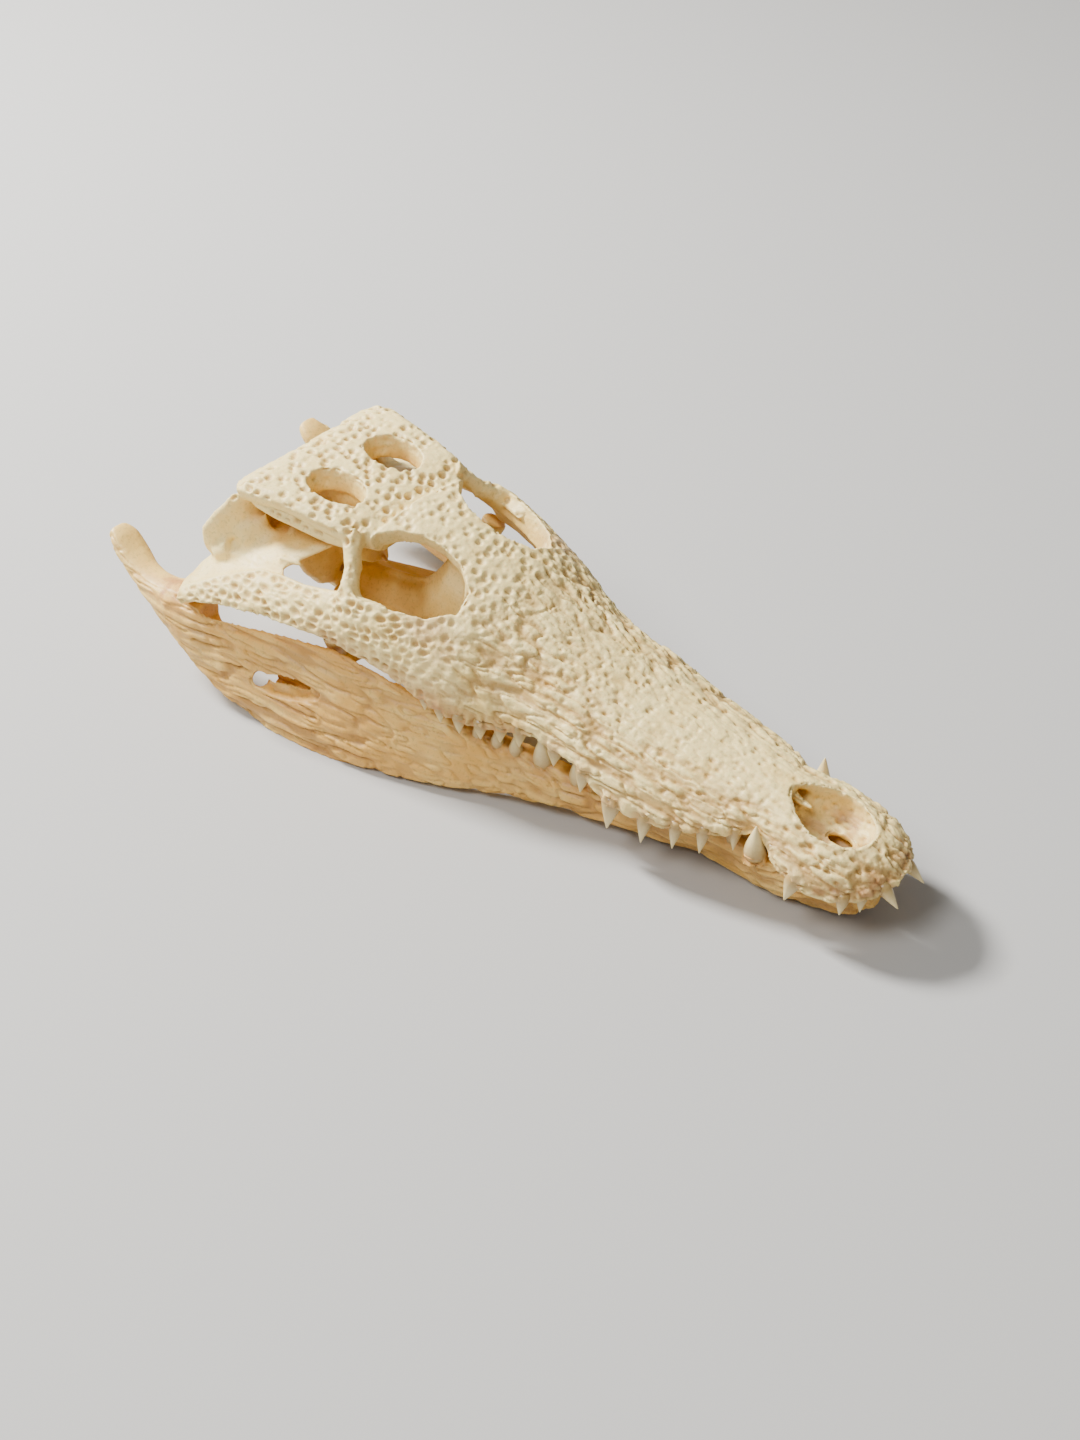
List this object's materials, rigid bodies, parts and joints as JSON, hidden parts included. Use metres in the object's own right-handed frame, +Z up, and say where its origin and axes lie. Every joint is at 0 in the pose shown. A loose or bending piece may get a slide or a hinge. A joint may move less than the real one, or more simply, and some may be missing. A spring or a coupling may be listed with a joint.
{
  "type": "crocodile skull",
  "caption": "Skull of a young crocodile with closed jaws, resting on its lower jaw: cranium and two jaw halves, teeth in place.",
  "frame": {"origin": "centre of the underside of the bounding box, on the surface the skull rests on", "axes": "+Y towards the snout, +Z up, +X to the skull's right"},
  "size_m": [0.11, 0.2776, 0.0732],
  "materials": {
    "cranium_bone": "dry ivory bone, satin",
    "jaw_bone": "warmer tan bone, satin"
  },
  "bodies": {
    "root": {"cranium": "cranium_bone", "mandible_left": "jaw_bone", "mandible_right": "jaw_bone"}
  },
  "joints": []
}
